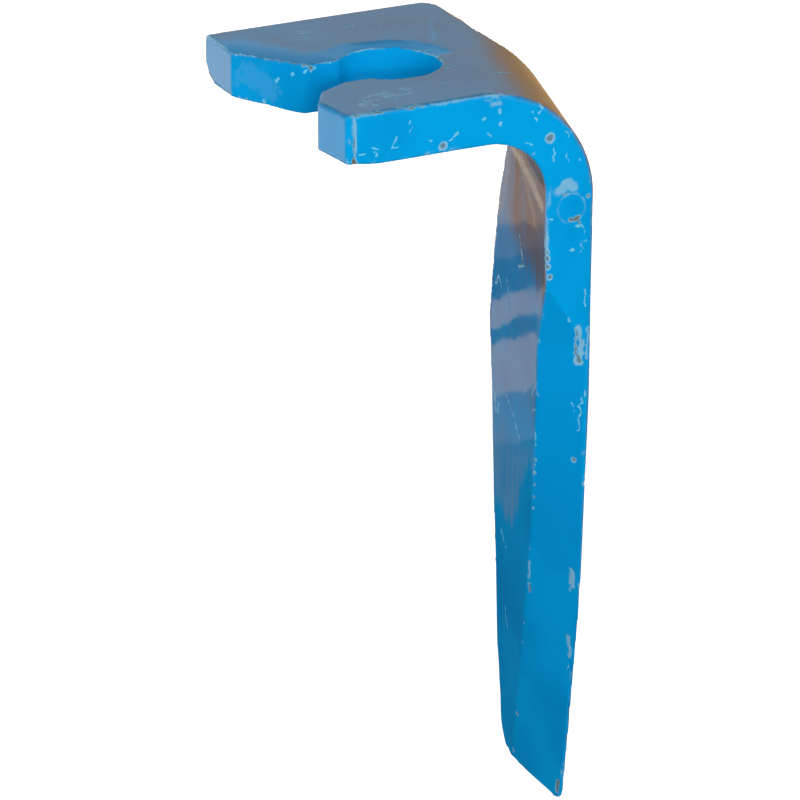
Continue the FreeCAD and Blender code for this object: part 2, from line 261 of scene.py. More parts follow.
def stroke(corners, wander=0.0, seed=0.0):
    """Points along the corners' polyline, wandering sideways by smooth noise, each laid on the skin."""
    corners = np.array(corners, dtype=float) * MM
    if len(corners) == 1:
        return np.array([on_skin(corners[0])])
    runs = []
    for start, end in zip(corners[:-1], corners[1:]):
        count = max(int(np.linalg.norm(end - start) / STROKE_STEP), 1)
        runs.append(start + (end - start) * np.linspace(0.0, 1.0, count, endpoint=False)[:, None])
    runs.append(corners[-1:])
    line = np.concatenate(runs)
    shake = np.stack([smooth_noise(line, SHAKE_SIZE, seed + axis) for axis in SHAKE_SEEDS], axis=1)
    return np.array([on_skin(place) for place in line + shake * wander * MM])


def distance_to(points, line, reach):
    """Distance from each point to the nearest point of the line, or the reach where it is further."""
    low, high = line.min(axis=0) - reach, line.max(axis=0) + reach
    near = np.nonzero(((points > low) & (points < high)).all(axis=1))[0]
    result = np.full(len(points), reach)
    if len(near):
        gaps = np.linalg.norm(points[near][:, None, :] - line[None, :, :], axis=2)
        result[near] = np.minimum(gaps.min(axis=1), reach)
    return result


# %% [markdown]
# The marks come in five kinds. A scratch is a thin pale line of broken paint, and a dab is a short wide
# one. A chip is a small crater down to the grey primer with a pale rim. A scuff is a rubbed patch where
# the paint has turned pale, and a bare patch is where it is gone and the steel has begun to rust. Most
# of them are on the near side and along the blade's edges. NEAR is how far out the near side lies.

# %% Places of the marks, in millimetres
NEAR = cad_box[0][1] / MM

DABS = [  # corners and half width
    ([(20.0, NEAR, -6.8), (20.2, NEAR, -7.8)], 1.0),
    ([(20.6, NEAR, -11.9), (20.5, NEAR, -12.6)], 0.8),
    ([(13.4, NEAR, -9.4), (14.0, NEAR, -9.1)], 0.8),
    ([(2.6, NEAR, -13.0), (3.0, NEAR, -12.6)], 0.9),
    ([(37.0, NEAR, -7.6), (37.8, NEAR, -8.8)], 0.8),
    ([(33.4, NEAR, -9.6), (33.6, NEAR, -9.8)], 0.6),
    ([(35.0, NEAR, -12.4), (35.2, NEAR, -13.0)], 0.6),
    ([(52.6, NEAR, -56.8), (53.4, NEAR, -57.0)], 0.9),
    ([(50.4, NEAR, -66.0), (51.2, NEAR, -66.2)], 1.0),
    ([(-31.7, 16.4, -4.6), (-31.9, 16.7, -5.6)], 0.9),
    ([(-35.3, 21.5, -7.5), (-35.6, 22.0, -8.6)], 0.8),
    ([(-28.4, 13, -3.4), (-27.8, 12.8, -2.8)], 0.9),
    ([(-24.8, 12.5, -2.2), (-24.2, 12.5, -1.8)], 0.9),
    ([(-19.9, 12.5, -1.0), (-18.4, 12.5, -1.2)], 0.7),
    ([(-39.0, 26.8, -17), (-38.6, 26.2, -18)], 0.7),
    ([(56.4, 17, -153), (56.6, 18, -157)], 1.2),
]

SCRATCHES = [  # corners
    [(-16, NEAR, -5.4), (-16.6, NEAR, -7), (-15.4, NEAR, -7.8), (-16.2, NEAR, -9.4)],
    [(-22, NEAR, -10.5), (-22.6, NEAR, -12.6), (-24.3, NEAR, -14.3), (-21.6, NEAR, -14.6)],
    [(-31.2, NEAR, -13), (-28.4, NEAR, -14.2)],
    [(-9, NEAR, -13.6), (-7.4, NEAR, -14.2), (-7.9, NEAR, -15.2)],
    [(-2.4, NEAR, -16), (0.4, NEAR, -14.8), (1.9, NEAR, -13.4)],
    [(-36.8, NEAR, -15.2), (-34.4, NEAR, -15.0)],
    [(-30.8, NEAR, -14.8), (-29.4, NEAR, -15.4), (-30.0, NEAR, -16.4)],
    [(14.6, NEAR, -14.4), (15.6, NEAR, -15.8), (17, NEAR, -16.4)],
    [(30.1, NEAR, -20.5), (33.8, NEAR, -21.9)],
    [(36, NEAR, -7.6), (37.4, NEAR, -9), (36.2, NEAR, -10.4)],
    [(34.4, NEAR, -11.8), (35.4, NEAR, -12.8)],
    [(47.6, NEAR, -19), (49.8, NEAR, -20.6), (48.8, NEAR, -21.6)],
    [(42.4, NEAR, -24.6), (43.4, NEAR, -26.8), (42, NEAR, -28.4), (43.2, NEAR, -30.4)],
    [(48.2, NEAR, -27.4), (47.8, NEAR, -30.2), (49, NEAR, -31)],
    [(53.8, NEAR, -30.2), (54.4, NEAR, -31.6)],
    [(56.6, NEAR, -62), (54.4, NEAR, -64), (55.8, NEAR, -66.4), (54, NEAR, -68)],
    [(50.2, NEAR, -66), (51.8, NEAR, -66.4)],
    [(41, NEAR, -52), (42.2, NEAR, -52.4)],
    [(54.6, NEAR, -56.4), (56.2, NEAR, -60.4)],
    [(56.4, -49, -82), (56.9, -49, -90)],
    [(50, -48.6, -93), (51, -48.4, -95)],
    [(57.2, -48.6, -123.6), (57.4, -48.6, -126)],
    [(56, -47.5, -124.4), (57, -48.6, -127.6), (55.6, -47.1, -130), (56.8, -48, -133.4),
     (55.4, -47, -136), (56.6, -48, -139), (55.6, -47, -142)],
    [(53.8, -45, -129), (54.8, -46, -133)],
    [(56.2, -41.4, -241.5), (56.6, -41, -243.4)],
    [(47.3, -14.4, -69.7), (46.9, -17.6, -78), (46.5, -19.4, -82), (48.4, -12, -85)],
    [(55.4, 20.4, -103.5), (53.8, 13.0, -97.4), (53.2, 10.2, -102.6)],
    [(51.8, 3.4, -94.0), (51.0, -0.8, -106.0)],
    [(53.6, 7, -143.2), (51.8, -2.4, -149), (49.6, -12.9, -157)],
    [(45, -31.8, -126), (45.4, -29.6, -129), (46.2, -27.4, -131.4)],
    [(45.2, -33, -134), (45.9, -28.6, -137.4)],
    [(45.4, -32.5, -143), (45.6, -32, -151)],
    [(56.2, 16, -206), (54.8, 9, -212)],
    [(55.8, 12, -238), (55.6, 8, -247)],
    [(14.5, -14.9, 0), (19, -13.6, 0), (24, -12.6, 0)],
    [(28.4, -25.5, 0), (34, -23.4, -1), (39, -21.6, -3.6)],
    [(6, -30, 0), (11, -28.6, 0)],
    [(-2, -26.8, 0), (4.6, -27.6, 0)],
    [(-20, 40, 0), (-13, 42.6, 0)],
    [(-9, 37, 0), (-2, 36, 0)],
    [(4, 47, 0), (8.6, 47.8, 0)],
    [(17, 44, 0), (19, 43.4, 0)],
    [(-28, -42, 0), (-22, -40.6, 0)],
    [(-29, -37, 0), (-23, -36.2, 0)],
    [(-22, -39.4, 0), (-15, -37.6, 0)],
    [(-24, -33.8, 0), (-18, -33.2, 0)],
    [(-17, -35.8, 0), (-10, -34.4, 0)],
    [(-14, -31.6, 0), (-6, -30.2, 0)],
]

CHIPS = [  # middle and radius
    ((-2.9, NEAR, -16.9), 1.3),
    ((40.9, NEAR, -20.7), 1.5),
    ((40.3, -48.6, -65.4), 0.8),
    ((40.4, -48.5, -68), 1.0),
    ((40.7, -48.8, -71.2), 1.0),
    ((41.7, -49, -75.2), 1.0),
    ((57.4, NEAR, -45.7), 0.7),
    ((54.9, -45.5, -152.7), 0.8),
    ((46.3, -31.2, -156.6), 0.5),
    ((46.6, -30.3, -162.4), 0.5),
    ((46.9, -29.4, -167.8), 0.5),
    ((47.2, -28.3, -173.4), 0.5),
    ((47.6, -27.5, -178.4), 0.5),
    ((54.6, -4, -278.8), 0.7),
    ((56.1, 1.7, -297.1), 0.7),
    ((37.4, NEAR, -6.4), 0.5),
]

SCUFFS = [  # corners, half width and how pale, from 0 to 1
    ([(44.6, NEAR, -42.4), (47.8, NEAR, -39.6), (50.4, NEAR, -41.4)], 3.2, 0.75),
    ([(17.2, NEAR, -4.4), (19.8, NEAR, -4.2)], 1.2, 0.60),
    ([(14.0, NEAR, -2.4), (20.4, NEAR, -1.8)], 0.6, 0.50),
    ([(-8, -48.7, -0.3), (6, -48.7, -0.3), (18, -48.7, -0.3)], 0.8, 0.60),
    ([(54.2, -49, -98.4), (55.6, -47.6, -105), (56.0, -47.4, -113)], 1.7, 0.95),
    ([(58.3, -49, -98.4), (58.4, -49, -110)], 0.8, 0.8),
    ([(55.4, -44.5, -201), (55.4, -44.5, -206)], 1.6, 0.8),
    ([(56.4, -43, -199), (56.6, -43, -208)], 0.9, 0.6),
    ([(56.1, -41.8, -230.3), (56.1, -41.8, -236.8)], 1.4, 0.75),
    ([(56.9, 22, -151), (56.9, 21, -158)], 1.9, 0.8),
    ([(-30, -40, 0), (-26, -34, 0), (-16, -33, 0), (-9, -31, 0)], 4.6, 0.95),
    ([(-38.6, -49, -2), (-38.2, -49, -9)], 0.5, 0.7),
    ([(-14, 46, 0), (-4, 49, 0)], 2.6, 0.7),
    ([(-43, 32, -9), (-37, 24, -12)], 7.0, 0.24),
    ([(48.9, -22.4, -203.4), (49.2, -21.6, -207), (49.7, -20.8, -211)], 1.1, 0.7),
]

BARE_PATCHES = [  # corners and half width
    ([(-33, -48.4, -0.4), (-27, -48.6, -0.3)], 0.6),
    ([(-21, -48.4, -0.4), (-11, -48.5, -0.3)], 0.7),
    ([(-38.4, -49, -9), (-38.3, -49, -18.6)], 0.5),
    ([(-38.8, -48.8, -16.6), (-38.2, -49, -18.6)], 0.9),
    ([(50.2, NEAR, -53.4), (52.6, NEAR, -54.2), (54.4, NEAR, -53.8)], 0.75),
    ([(53.6, NEAR, -54.6), (53.4, NEAR, -56.6)], 0.5),
    ([(46.8, NEAR, -43.8), (48.2, NEAR, -43.4)], 0.6),
    ([(-28.6, 13.4, -1.4), (-25.6, 12.6, -1.6)], 0.9),
    ([(53.2, -48.8, -99.4), (54.2, -47.0, -105), (54.8, -47.0, -112)], 0.7),
    ([(56.6, -35, -294), (56.4, -34.6, -299)], 1.2),
    ([(-46.6, 61, -17), (-46.8, 60, -19.4)], 0.7),
    ([(49.6, -20.8, -213.4), (50.0, -20.2, -217.4)], 0.6),
]
print("near side at", NEAR, "mm")

# %% [markdown]
# Under the bend and lower on the inner face, dirty water has run down and dried. Each run is a soft
# stroke with its own width, with one strength of grey dust and one of pale clay.

# %% Runs of dried dirt
FILM_RUNS = [  # corners, half width, strength of the dust and of the clay
    ([(50.5, 3, -38), (46.1, -19, -41.8), (44.2, -28.1, -44.1), (41, -43, -49)], 2.2, 0.1, 0.85),
    ([(51, 2, -36), (50.5, 1.7, -50.6), (51.6, 6.7, -60.4), (53, 12, -70)], 3.0, 0.1, 0.34),
    ([(46, -12, -36), (44, -22, -46), (43, -34, -58)], 2.6, 0.1, 0.24),
]
print("runs of dirt", len(FILM_RUNS))

# %% [markdown]
# The far arm's rim along the keyhole is rubbed too, and its pale line is also a painted highlight on the
# rim's rounding. The dust and painted shade on top are wiped away beside it. The rim's line follows the
# bore for half a turn, then the slot and its slanted mouth.

# %% The far rim of the keyhole
BORE_RADIUS = frame["record"]["mounts"][0]["dims"]["r_mm"]
SLOT_HALF = 12.5
MOUTH_KNEE = (-28.0, SLOT_HALF)
MOUTH_END = (-46.2, 37.0)
RIM_START = -0.3
RIM_STEPS = 12

bore_turns = np.linspace(RIM_START, math.pi - math.asin(SLOT_HALF / BORE_RADIUS), RIM_STEPS)
SLOT_RIM = [(BORE_RADIUS * math.cos(turn), BORE_RADIUS * math.sin(turn), 0.0) for turn in bore_turns]
SLOT_RIM += [(*MOUTH_KNEE, 0.0), (*MOUTH_END, 0.0)]
print("rim line of", len(SLOT_RIM), "corners")

# %% [markdown]
# The outer corners are the first to be knocked. Thin broken lines follow the ones that show it: the far
# arm's end, the near arm's top edge and upright corner, and the blade's inner edge under the bend.

# %% Knocked corners
CORNER_LINES = [
    [(-46.8, 61.5, 0), (-46.2, 36, 0)],
    [(-38.4, NEAR, 0), (-8, NEAR, 0), (28, NEAR, 0)],
    [(-38.4, NEAR, -1), (-38.2, NEAR, -19)],
    [(41.5, -48.5, -40), (40, -48.5, -52), (40, -48.5, -70)],
]
print("corner lines", len(CORNER_LINES))

# %% [markdown]
# One mark is larger: the print of a round bar end, a faint circle pressed into the side of the bend.
# Its circle is worked out from a centre and a radius, like a pair of compasses would draw it.

# %% The round print
PRINT_MIDDLE = (50.4, -49.4)
PRINT_RADIUS = 5.7
PRINT_STEPS = 28
PRINT_START = 0.35

around = np.linspace(PRINT_START, PRINT_START + 2 * math.pi, PRINT_STEPS)
print_corners = [
    (PRINT_MIDDLE[0] + PRINT_RADIUS * math.cos(turn), NEAR, PRINT_MIDDLE[1] + PRINT_RADIUS * math.sin(turn))
    for turn in around
]
print("round print", round(2 * PRINT_RADIUS, 1), "mm across")

# %% [markdown]
# The photograph hides the outer face, the far side and the underside. A used tine is marked there too, so
# a seeded choice of places on the skin gives them small chips and short scratches of the same kinds.

# %% Marks on the hidden sides
HIDDEN_CHIPS = 34
HIDDEN_SCRATCHES = 40
HIDDEN_FACING = 0.5
HIDDEN_RADII = (0.4, 1.2)
HIDDEN_LENGTHS = (2.0, 5.0)
HIDDEN_SEED = 7

draw = np.random.default_rng(HIDDEN_SEED)
centres = np.empty(len(forging.data.polygons) * 3)
facing = np.empty(len(forging.data.polygons) * 3)
forging.data.polygons.foreach_get("center", centres)
forging.data.polygons.foreach_get("normal", facing)
centres = centres.reshape(-1, 3)
facing = facing.reshape(-1, 3)
faces_away = (facing[:, 0] > HIDDEN_FACING) | (facing[:, 1] > HIDDEN_FACING)
hidden = np.nonzero(faces_away | (facing[:, 2] < -HIDDEN_FACING))[0]
for pick in draw.choice(hidden, HIDDEN_CHIPS, replace=False):
    CHIPS.append((tuple(centres[pick] / MM), draw.uniform(*HIDDEN_RADII)))
for pick in draw.choice(hidden, HIDDEN_SCRATCHES, replace=False):
    side = np.cross(facing[pick], draw.normal(size=3))
    side *= draw.uniform(*HIDDEN_LENGTHS) / np.linalg.norm(side)
    SCRATCHES.append([tuple(centres[pick] / MM), tuple(centres[pick] / MM + side)])
print(len(SCRATCHES), "scratches", len(CHIPS), "chips", len(SCUFFS) + len(BARE_PATCHES), "patches")

# %% [markdown]
# Now every mark becomes a line of points on the skin. A line drawn with a ruler looks false, so each one
# wanders a little, by its own number of millimetres and from its own seed.

# %% Lay every mark on the skin
SCRATCH_HALF = 0.26
SCRATCH_LENGTH = 0.85
SCRATCH_WANDER = 0.8
SCUFF_WANDER = 1.2
BARE_WANDER = 0.9
DAB_WANDER = 0.3
PRINT_WANDER = 0.25
SCUFF_SEED = 40
BARE_SEED = 70
PRINT_SEED = 99
DAB_SEED = 120


def shortened(corners, share):
    """The same corners drawn in towards their own mean, to keep this share of the length."""
    corners = np.array(corners, dtype=float)
    return corners.mean(axis=0) + (corners - corners.mean(axis=0)) * share


scratch_lines = [
    stroke(shortened(corners, SCRATCH_LENGTH), SCRATCH_WANDER, number)
    for number, corners in enumerate(SCRATCHES)
]
chip_lines = [(stroke([place]), radius) for place, radius in CHIPS]
scuff_lines = [
    (stroke(corners, SCUFF_WANDER, SCUFF_SEED + number), half)
    for number, (corners, half, _) in enumerate(SCUFFS)
]
bare_lines = [
    (stroke(corners, BARE_WANDER, BARE_SEED + number), half)
    for number, (corners, half) in enumerate(BARE_PATCHES)
]
rim_line = stroke(SLOT_RIM)
# The rim line joins the corners: its pale rub is worn paint and also a painted highlight on the rounded
# rim.
corner_lines = [stroke(corners) for corners in CORNER_LINES] + [rim_line]
dab_lines = [
    (stroke(corners, DAB_WANDER, DAB_SEED + number), half) for number, (corners, half) in enumerate(DABS)
]
film_lines = [(stroke(corners), half) for corners, half, _, _ in FILM_RUNS]
print_line = stroke(print_corners, PRINT_WANDER, PRINT_SEED)
print("points on the longest line", max(len(line) for line in scratch_lines + corner_lines))

# %% [markdown]
# Dividing faces is bmesh's work. The first pass halves the net within reach of a mark, and the second
# halves it again closer in, so that small faces meet large ones in two easy steps.

# %% Divide the net near the marks
FIRST_REACH = 0.9
SECOND_REACH = 0.45
CHIP_REACH = 1.5

thin_lines = [(line, SCRATCH_HALF) for line in scratch_lines + [print_line]]
thin_lines += [(line, SCRATCH_HALF) for line in corner_lines]
thin_lines += [(line, radius * CHIP_REACH) for line, radius in chip_lines]
thin_lines += dab_lines


def near_a_mark(points, lines, reach):
    """True for each point within this reach, in millimetres, of the border of any of these marks."""
    close = np.zeros(len(points), dtype=bool)
    for line, half in lines:
        limit = (half + reach) * MM
        close |= distance_to(points, line, limit) < limit
    return close


def divide(mesh, lines, reach):
    """Halve every face whose middle lies within reach of one of these marks."""
    middles = np.empty(len(mesh.polygons) * 3)
    mesh.polygons.foreach_get("center", middles)
    chosen = near_a_mark(middles.reshape(-1, 3), lines, reach)
    work = bmesh.new()
    work.from_mesh(mesh)
    work.faces.ensure_lookup_table()
    edges = {edge for number in np.nonzero(chosen)[0] for edge in work.faces[number].edges}
    bmesh.ops.subdivide_edges(work, edges=list(edges), cuts=1, use_grid_fill=True)
    work.to_mesh(mesh)
    work.free()


divide(forging.data, thin_lines + scuff_lines + bare_lines, FIRST_REACH)
divide(forging.data, thin_lines + bare_lines, SECOND_REACH)
print("divided net", len(forging.data.vertices), "points", len(forging.data.polygons), "faces")

# %% [markdown]
# Now each point learns how scratched, rubbed or bare it is. A mark's strength falls from 1 inside its
# width to 0 outside, and noise moves that border in and out, so that nothing ends in a clean line.

# %% Noises that roughen the marks
points, normals = points_and_normals(forging.data)
fine = smooth_noise(points, 0.9 * MM, 21.0)
medium = smooth_noise(points, 1.5 * MM, 23.0)
combed = smooth_noise(points * (0.3, 1.0, 1.0), 1.3 * MM, 24.0)
coarse = smooth_noise(points, 2.6 * MM, 22.0)
scratched = np.zeros(len(points))
rubbed = np.zeros(len(points))
bare = np.zeros(len(points))
dent = np.zeros(len(points))


def strength_along(line, half, rough, inner, outer):
    """1 nearer to the line than inner, 0 past outer, in millimetres, with the border moved by rough."""
    away = distance_to(points, line, (2.0 * half + 2.0) * MM) / MM
    return 1 - ramp(away + rough, inner, outer)


def strength_across(line, half, border, rough):
    """The same for a wide mark, with border and roughness in shares of its half width."""
    return strength_along(line, half, half * rough, half * border[0], half * border[1])


print("roughened over", len(points), "points")

# %% [markdown]
# The thin marks first. A border is given by the distance at which a mark begins to fade and the one at
# which it is gone. Each mark also sinks the surface by its own depth, all in millimetres.

# %% Scratches, dabs and the round print
SCRATCH_BORDER = (0.14, 0.50)
SCRATCH_DEPTH = 0.08
DAB_BORDER = (0.40, 1.10)
DAB_STRENGTH = 0.9
DAB_DEPTH = 0.06
PRINT_BORDER = (0.25, 0.80)
PRINT_GROOVE = (0.3, 1.0)
PRINT_PALE = 0.5
PRINT_DEPTH = 0.10
PRINT_GAPS = (-0.4, 0.5)

scratch_rough = 0.20 * fine + 0.26 * medium
dab_rough = 0.25 * fine + 0.25 * medium
for line in scratch_lines:
    strength = strength_along(line, SCRATCH_HALF, scratch_rough, *SCRATCH_BORDER)
    scratched = np.maximum(scratched, strength)
    dent = np.maximum(dent, SCRATCH_DEPTH * strength)
for line, half in dab_lines:
    strength = strength_across(line, half, DAB_BORDER, dab_rough)
    scratched = np.maximum(scratched, DAB_STRENGTH * strength)
    dent = np.maximum(dent, DAB_DEPTH * strength)
pressed = strength_along(print_line, 1.0, 0.20 * fine, *PRINT_BORDER)
pressed *= 0.45 + 0.55 * ramp(coarse, *PRINT_GAPS)
rubbed = np.maximum(rubbed, PRINT_PALE * pressed)
dent = np.maximum(dent, PRINT_DEPTH * strength_along(print_line, 1.0, 0.0, *PRINT_GROOVE))
print("scratched points", int((scratched > 0.5).sum()))

# %% [markdown]
# The wide marks have borders in shares of their own half width. A chip and a bare patch have a second,
# wider border, where the paint round the hole is pale. On faces that look up, a scuff breaks up into
# streaks, because there something slid along the head.

# %% Chips, scuffs and bare patches
CHIP_BORDER = (0.75, 1.05)
CHIP_RIM = (1.30, 1.65)
CHIP_BARE = 0.75
CHIP_DEPTH = 0.24
SCUFF_BORDER = (0.45, 0.95)
LOOKS_UP = (0.5, 0.9)
STREAK_GAPS = (-0.15, 0.35)
BARE_BORDER = (0.50, 0.75)
BARE_RIM = (0.85, 1.15)
BARE_DEPTH = 0.22

for line, radius in chip_lines:
    inside = strength_across(line, radius, CHIP_BORDER, 0.35 * fine)
    bare = np.maximum(bare, CHIP_BARE * inside)
    rubbed = np.maximum(rubbed, strength_across(line, radius, CHIP_RIM, 0.25 * coarse))
    dent = np.maximum(dent, CHIP_DEPTH * inside)
streaky = 1 - ramp(normals[:, 2], *LOOKS_UP) * (1 - ramp(combed + 0.5 * fine, *STREAK_GAPS))
scuff_rough = 0.15 * fine + 0.42 * coarse
for (line, half), (_, _, paleness) in zip(scuff_lines, SCUFFS):
    strength = strength_across(line, half, SCUFF_BORDER, scuff_rough)
    rubbed = np.maximum(rubbed, paleness * strength * streaky)
bare_rough = 0.35 * fine + 0.55 * coarse
for line, half in bare_lines:
    bare = np.maximum(bare, strength_across(line, half, BARE_BORDER, bare_rough))
    rubbed = np.maximum(rubbed, strength_across(line, half, BARE_RIM, bare_rough))
    dent = np.maximum(dent, BARE_DEPTH * bare)
print("rubbed points", int((rubbed > 0.5).sum()), "bare points", int((bare > 0.5).sum()))

# %% [markdown]
# Along the outer edges the paint is thin all the way. A coarse noise chooses which stretches have gone
# pale, and inside those a finer one chooses the few spots that are down to metal.

# %% Wear along the outer edges
EDGE_PALE_FROM = (1.10, 1.40)
EDGE_BARE_FROM = (1.42, 1.56)
EDGE_PALE = 0.75
EDGE_DEPTH = 0.16
KNOCKED_BORDER = (0.40, 0.95)
KNOCKED_AND_HIGHLIGHT_PALE = 0.85
KNOCKED_STRETCH = (-0.9, 0.5)

edge_band = stored(forging.data, "edge_band")
stretch = smooth_noise(points, 9 * MM, 31.0) + 0.7 * smooth_noise(points, 3.1 * MM, 32.0)
edge_pale = ramp(edge_band + 0.38 * stretch + 0.25 * fine, *EDGE_PALE_FROM)
edge_bare = ramp(edge_band + 0.42 * stretch + 0.30 * coarse, *EDGE_BARE_FROM)
rubbed = np.maximum(rubbed, EDGE_PALE * edge_pale)
# The pale lines along corners are worn paint; along the keyhole's rim they are also a painted highlight.
for line in corner_lines:
    knocked_and_highlight = strength_along(line, 1.0, 0.35 * fine + 0.25 * coarse, *KNOCKED_BORDER)
    rubbed = np.maximum(rubbed, KNOCKED_AND_HIGHLIGHT_PALE * knocked_and_highlight * ramp(stretch, *KNOCKED_STRETCH))
bare = np.maximum(bare, edge_bare)
dent = np.maximum(dent, EDGE_DEPTH * edge_bare)
for name, strength in (("scratched", scratched), ("rubbed", rubbed), ("bare", bare)):
    store(forging.data, name, strength)
print("pale edge points", int((edge_pale > 0.5).sum()), "bare edge points", int((edge_bare > 0.5).sum()))

# %% [markdown]
# Handling and weather leave a thin film on the paint, and some films here are painted shade and painted
# reflection too. Each film is one number for each point, made from the way the surface faces, its place
# in millimetres and a noise, often a stretched one. The material lays the film's colour over the blue by
# that number. All the films share these places and noises.

# %% Places, facings and noises for the films
x, y, z = points.T / MM
up = normals[:, 2]
out = normals[:, 0]
inward = -normals[:, 0]
cloud_wide = smooth_noise(points, 14 * MM, 51.0)
cloud_small = smooth_noise(points, 4 * MM, 52.0)
down_streaks = smooth_noise(points * (1.0, 1.0, 0.12), 2.4 * MM, 53.0)
across_streaks = smooth_noise(points * (0.25, 1.0, 1.0), 2.0 * MM, 54.0)
print("noises from", round(cloud_wide.min(), 2), "to", round(cloud_wide.max(), 2))

# %% [markdown]
# On top of the head the film is grey dust and also painted shade: it darkens the top, which gets little
# light from above, and lays a painted dull grey reflection on it. It is wiped off along the keyhole's far
# rim, in a strip that widens towards the far arm's end, and in one thin streak, where the top keeps its
# clean blue. A little comes back on the wiped parts.

# %% Dust and painted shade on top of the head
DUST_AND_SHADE_ON_TOP = 0.45
FACING_UP = (0.45, 0.80)
WIPED_NEAR_BORE = 8.0
WIPED_AT_END = 17.0
WIPED_BORDER = (0.75, 1.2)
WIPED_END_LINE = (44, 50)
WIPED_LEAVES = 0.15
WIPED_STREAK = [(37.0, 39.4, 0.0), (31.9, 27.9, 0.0), (26.6, 16.7, 0.0)]
STREAK_STRENGTH = 0.55
STREAK_BORDER = (0.4, 1.6)
ARM_LENGTH = 44.0
HEAD_SPAN = (-40, 35)

rim_gap = distance_to(points, rim_line, 30 * MM) / MM
wiped_width = WIPED_NEAR_BORE + (WIPED_AT_END - WIPED_NEAR_BORE) * ramp(-x, 0.0, ARM_LENGTH)
wiped_from = wiped_width * WIPED_BORDER[0]
wiped_to = wiped_width * WIPED_BORDER[1]
wiped = (1 - ramp(rim_gap + 1.5 * cloud_small, wiped_from, wiped_to)) * (y > 0)
wiped = np.maximum(wiped, ramp(-x + 0.25 * (62 - y) + 2 * cloud_small, *WIPED_END_LINE) * (y > 0))
streak_gap = distance_to(points, stroke(WIPED_STREAK), 4 * MM) / MM
wiped = np.maximum(wiped, STREAK_STRENGTH * (1 - ramp(streak_gap + 0.4 * cloud_small, *STREAK_BORDER)))
blotch = 0.92 + 0.12 * cloud_wide + 0.08 * cloud_small + 0.06 * across_streaks
blotch += 0.15 * ramp(x, *HEAD_SPAN)
# On top of the head this grey is dust and also painted shade and a painted dull reflection.
dust_and_shade = DUST_AND_SHADE_ON_TOP * ramp(up, *FACING_UP) * (1 - (1 - WIPED_LEAVES) * wiped) * blotch
print("dusty points", int((dust_and_shade > 0.3).sum()), "wiped points", int((wiped > 0.5).sum()))

# %% [markdown]
# Over the back of the bend the brown is a painted reflection of brown surroundings, strongest where the
# surface turns outward. A second brown strip runs down the outer face beside the leading edge as painted
# shade, where the rounded edge turns away from the light.

# %% Painted reflection and painted shade in brown on the outer side
BEND_FACING = (0.18, 0.50)
BEND_SPAN = (-85, -30)
BEND_FROM = (24, 34)
BEND_BROWN = 0.60
BEND_BROWN_OUT = 0.25
CONTOUR_SHADE_FACING = (0.35, 0.75)
CONTOUR_SHADE_BELOW = (85, 105)
CONTOUR_SHADE_BESIDE = (-42, -30)
CONTOUR_SHADE_STRENGTH = 0.55

# Painted reflection: brown over the back of the bend, by how far the surface faces outward.
bend_reflection = ramp(out, *BEND_FACING) * ramp(z, *BEND_SPAN) * ramp(x, *BEND_FROM)
bend_reflection_brown = BEND_BROWN + BEND_BROWN_OUT * ramp(out, 0.3, 0.7)
brown = bend_reflection * bend_reflection_brown * (1 + 0.15 * cloud_wide + 0.2 * across_streaks)
# Painted shade: a brown strip on the outer face beside the leading edge, where the edge turns from the
# light.
contour_shade = ramp(out, *CONTOUR_SHADE_FACING) * ramp(-z, *CONTOUR_SHADE_BELOW) * (1 - ramp(y, *CONTOUR_SHADE_BESIDE))
brown = np.maximum(brown, CONTOUR_SHADE_STRENGTH * contour_shade)
print("brown points on the outer side", int((brown > 0.3).sum()))

# %% [markdown]
# The inner face collects the most dirt. It is thick in the crook under the bend, browner towards the
# near edge. A thin haze reaches half way down, and below it lobes of dried clay hang. The single runs
# that were placed before are added last.

# %% Dirt on the inner face
INNER_FACING = (0.30, 0.70)
BLADE_FROM = (24, 32)
BESIDE_BEVEL = (-0.20, 0.05)
NEAR_HALF = (-10, 12)
CROOK_FOOT = (-84, -60)
CROOK_SLANT = 0.30
CROOK_BROWN = 0.14
CROOK_BROWN_NEAR = 0.56
CROOK_DUST = 0.15
CROOK_CLAY = 0.14
HAZE_FOOT = (-154, -136)
HAZE_BROWN = 0.18
LOBE_TOP = (-172, -142)
LOBE_FOOT = -197
LOBE_RISE = 38
LOBE_RISE_OVER = (-2, 26)
LOBE_EDGE = (-4, 5)
LOBE_BROWN = 0.12
LOBE_CLAY = 0.12

inner_face = ramp(inward, *INNER_FACING) * ramp(x, *BLADE_FROM) * ramp(normals[:, 1], *BESIDE_BEVEL)
crook = inner_face * ramp(z - CROOK_SLANT * y + 4 * down_streaks, *CROOK_FOOT)
near_half = ramp(-y, *NEAR_HALF)
crook_brown = CROOK_BROWN + CROOK_BROWN_NEAR * near_half
brown = np.maximum(brown, crook * crook_brown * (1 + 0.30 * down_streaks))
haze = inner_face * ramp(z + 5 * cloud_wide + 3 * down_streaks, *HAZE_FOOT)
brown = np.maximum(brown, HAZE_BROWN * haze * (1 + 0.4 * down_streaks))
dust_and_shade = np.maximum(dust_and_shade, CROOK_DUST * crook * (1 - 0.5 * down_streaks))
lobe_foot = LOBE_FOOT + LOBE_RISE * ramp(-y, *LOBE_RISE_OVER)
lobes = inner_face * ramp(z - lobe_foot + 3 * down_streaks, *LOBE_EDGE)
lobes *= 1 - ramp(z + 4 * cloud_wide, *LOBE_TOP)
brown = np.maximum(brown, LOBE_BROWN * lobes * (1 + 0.5 * down_streaks))
clay = LOBE_CLAY * lobes * (1 + 0.8 * down_streaks) + CROOK_CLAY * crook * (1 - near_half)
